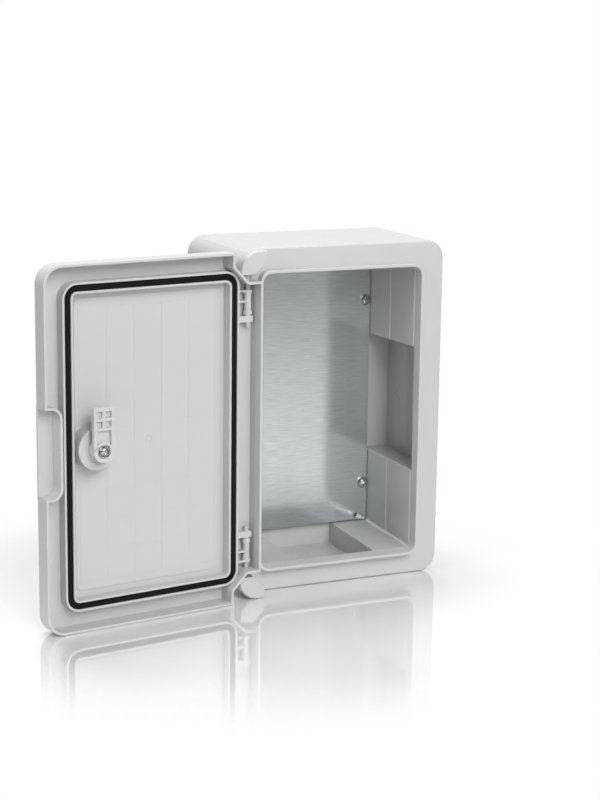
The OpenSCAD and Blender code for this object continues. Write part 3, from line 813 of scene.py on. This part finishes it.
def polished_floor(tone, dim, mirror):
    """Pale glossy floor: mirrors the box near it and is plain white further away."""
    finish = Finish("studio_floor")
    finish.tree.nodes.remove(finish.shader)
    rays = finish.add("ShaderNodeLightPath").outputs
    polish = {"Color": WHITE, "Roughness": FLOOR_POLISH}
    gloss = finish.add("ShaderNodeBsdfGlossy", polish).outputs["BSDF"]
    matt = finish.add("ShaderNodeBsdfDiffuse", {"Color": (*tone, 1.0)}).outputs["BSDF"]
    near = finish.mixed_shader(mirror, matt, gloss)
    # the floor fades to white with the distance from its spot below the box
    ends = {0: finish.place, 1: FLOOR_SPOT}
    away = finish.add("ShaderNodeVectorMath", ends, operation="DISTANCE").outputs["Value"]
    fade = finish.spread(away, 0.0, 1.0, WHITE_START, WHITE_END, interpolation_type="SMOOTHSTEP")
    # mirrors see the floor dimmer the further away it lies, the camera doesn't
    falloff = finish.spread(away, 1.0, DIM_SHARE, DIM_START, DIM_END)
    level = finish.larger(falloff, rays["Is Camera Ray"])
    white = finish.add("ShaderNodeEmission", {"Color": WHITE, "Strength": level}).outputs["Emission"]
    seen = finish.mixed_shader(fade, near, white)
    # what the floor throws back onto the box is dimmer than what the camera sees
    dimmed = finish.mixed_colour(fade, tone, dim)
    plain = finish.add("ShaderNodeBsdfDiffuse", {"Color": dimmed}).outputs["BSDF"]
    bright = finish.larger(rays["Is Camera Ray"], rays["Is Glossy Ray"])
    both = finish.mixed_shader(bright, plain, seen)
    finish.tree.links.new(both, finish.tree.nodes["Material Output"].inputs["Surface"])
    return finish.material


def backdrop(nodes, strength):
    """White light of this strength from all round."""
    settings = {"Color": WHITE, "Strength": strength}
    return nodes.add("ShaderNodeBackground", settings).outputs["Background"]


def studio_world():
    """Soft light that is strongest above, in front of a white background."""
    world = bpy.data.worlds.new("studio")
    bpy.context.scene.world = world
    world.use_nodes = True
    world.node_tree.nodes.clear()
    nodes = NodeBuilder(world.node_tree)
    rays = nodes.add("ShaderNodeLightPath").outputs
    place = nodes.add("ShaderNodeTexCoord").outputs["Generated"]
    way = nodes.add("ShaderNodeSeparateXYZ", {"Vector": place}).outputs
    sky = nodes.spread(way["Z"], HORIZON_LIGHT, OVERHEAD_LIGHT)
    # glossy faces see the white wall behind the box, and a dimmer room in front of it
    wall = nodes.spread(way["Y"], ROOM_LIGHT, 1.0, WALL_START, WALL_END)
    lit = nodes.mixed_shader(rays["Is Glossy Ray"], backdrop(nodes, sky), backdrop(nodes, wall))
    seen = nodes.mixed_shader(rays["Is Camera Ray"], lit, backdrop(nodes, 1.0))
    nodes.add("ShaderNodeOutputWorld", {"Surface": seen})


def photo_camera(values):
    """Camera that is turned round the box, raised and rolled, and looks at its target."""
    turn, rise, roll = values.azimuth, values.elevation, values.roll
    back = Vector((
        math.sin(turn) * math.cos(rise), -math.cos(turn) * math.cos(rise), math.sin(rise)
    ))
    right = (-back).cross(Vector((0.0, 0.0, 1.0))).normalized()
    up = right.cross(-back)
    across = math.cos(roll) * right + math.sin(roll) * up
    upward = math.cos(roll) * up - math.sin(roll) * right
    optics = bpy.data.cameras.new("photo_camera")
    optics.lens = values.lens
    optics.sensor_width = FRAME_WIDTH
    optics.sensor_fit = "AUTO"
    optics.clip_start = NEAREST
    camera = bpy.data.objects.new("photo_camera", optics)
    bpy.context.scene.collection.objects.link(camera)
    camera.location = Vector(values.target) + back * values.distance
    camera.rotation_euler = Matrix((across, upward, back)).transposed().to_euler()
    bpy.context.scene.camera = camera


class ENCLOSURE_OT_stage(bpy.types.Operator):
    """White glossy floor, soft lamps and the camera"""

    bl_idname = "enclosure.stage"
    bl_label = "Stage"

    def execute(self, context):
        values = context.scene.enclosure_stage
        deselect()
        bpy.ops.mesh.primitive_plane_add(
            size=FLOOR_SIZE, location=(0.0, 0.0, cad_low.z - FLOOR_GAP)
        )
        floor = context.object
        floor.name = "studio_floor"
        bpy.ops.object.transform_apply(location=True, rotation=True, scale=True)
        finish = polished_floor(tuple(values.floor), tuple(values.bounce), values.mirror)
        floor.data.materials.append(finish)
        studio_world()
        studio_lamps(values)
        photo_camera(values)
        context.scene.view_settings.view_transform = "Standard"
        return {"FINISHED"}


OPERATORS = (
    ENCLOSURE_OT_housing,
    ENCLOSURE_OT_plate,
    ENCLOSURE_OT_plate_screws,
    ENCLOSURE_OT_door,
    ENCLOSURE_OT_raster,
    ENCLOSURE_OT_seal,
    ENCLOSURE_OT_hinges,
    ENCLOSURE_OT_lock,
    ENCLOSURE_OT_latch,
    ENCLOSURE_OT_stage,
)

GROUPS = {
    "enclosure_mouldings": EnclosureMouldings,
    "enclosure_metals": EnclosureMetals,
    "enclosure_raster": EnclosureRaster,
    "enclosure_stage": EnclosureStage,
}


class ENCLOSURE_PT_panel(bpy.types.Panel):
    """Sidebar panel with the enclosure's settings and pieces"""

    bl_idname = "ENCLOSURE_PT_panel"
    bl_label = "Wall enclosure"
    bl_space_type = "VIEW_3D"
    bl_region_type = "UI"
    bl_category = "Enclosure"

    def draw(self, context):
        for name in GROUPS:
            box = self.layout.box()
            group = getattr(context.scene, name)
            for value in group.bl_rna.properties.keys():
                if value not in ("rna_type", "name"):
                    box.prop(group, value)
        for operator in OPERATORS:
            self.layout.operator(operator.bl_idname)


def register():
    """Registers the classes and the scene's settings."""
    for kind in (*GROUPS.values(), *OPERATORS, ENCLOSURE_PT_panel):
        bpy.utils.register_class(kind)
    for name, group in GROUPS.items():
        setattr(bpy.types.Scene, name, bpy.props.PointerProperty(type=group))


def unregister():
    """Takes the settings and the classes away again."""
    for name in GROUPS:
        delattr(bpy.types.Scene, name)
    for kind in reversed((*GROUPS.values(), *OPERATORS, ENCLOSURE_PT_panel)):
        bpy.utils.unregister_class(kind)


def main():
    register()
    bpy.ops.enclosure.housing()
    bpy.ops.enclosure.plate()
    bpy.ops.enclosure.plate_screws()
    bpy.ops.enclosure.door()
    bpy.ops.enclosure.raster()
    bpy.ops.enclosure.seal()
    bpy.ops.enclosure.hinges()
    bpy.ops.enclosure.lock()
    bpy.ops.enclosure.latch()
    bpy.ops.enclosure.stage()


if __name__ == "__main__":
    main()
